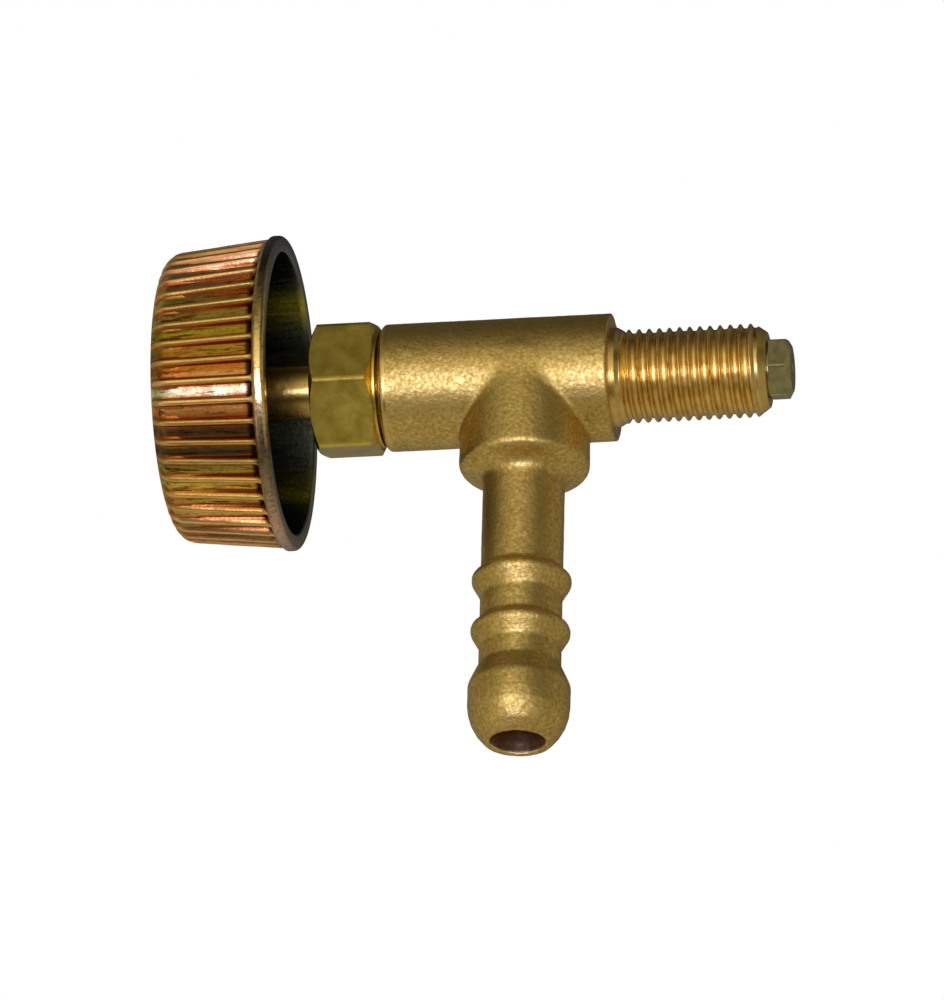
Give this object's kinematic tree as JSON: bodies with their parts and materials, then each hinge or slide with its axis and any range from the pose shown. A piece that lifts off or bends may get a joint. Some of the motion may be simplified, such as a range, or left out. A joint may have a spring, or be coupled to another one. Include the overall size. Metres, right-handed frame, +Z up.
{
  "type": "needle valve",
  "caption": "Brass gas needle valve with a threaded nose and jet, a hose barb at right angles, a hexagonal gland nut and a fluted cup handwheel on a rising spindle.",
  "frame": {"origin": "on the spindle axis, in the plane of the shoulder at the root of the threaded nose", "axes": "+X along the spindle axis out of the nose, -Z along the hose barb out of its tip, so that +Z is up with the barb hanging down"},
  "size_m": [0.0677, 0.0336, 0.0589],
  "materials": {
    "forged_brass": "shot-blasted forging, fine grain, satin",
    "jet_brass": "turned hexagon bar, satin, slightly green",
    "turned_brass": "turned, bright",
    "gland_brass": "drawn hexagon bar, satin, olive",
    "spindle_brass": "turned and polished, coppery",
    "yellow_zinc": "yellow chromated zinc on steel, iridescent orange, gold, pink and green",
    "zinc_hardware": "zinc plated steel",
    "packing": "PTFE, matte white",
    "seal_rubber": "black nitrile, matte"
  },
  "bodies": {
    "body": {"valve_body": "forged_brass", "jet": "jet_brass", "packing_washer": "turned_brass", "packing_ring_inner": "packing", "packing_ring_middle": "packing", "packing_ring_outer": "packing", "gland_follower": "turned_brass", "gland_nut": "gland_brass"},
    "seal": {"spindle_o_ring": "seal_rubber"},
    "spindle": {"spindle": "spindle_brass", "handwheel": "yellow_zinc", "wheel_washer": "zinc_hardware", "wheel_spring_washer": "zinc_hardware", "wheel_nut": "zinc_hardware"}
  },
  "joints": [
    {"name": "spindle_travel", "type": "slide", "parent": "body", "child": "seal", "axis": [-1, 0, 0], "range_m": [0, 0.00226]},
    {"name": "handwheel_turn", "type": "hinge", "parent": "seal", "child": "spindle", "pos_m": [-0.024, 0, 0], "axis": [-1, 0, 0], "range_deg": [0, 1080]}
  ],
  "couplings": [
    {"joint": "spindle_travel", "follows": "handwheel_turn", "m_per_rad": 0.00011937}
  ]
}
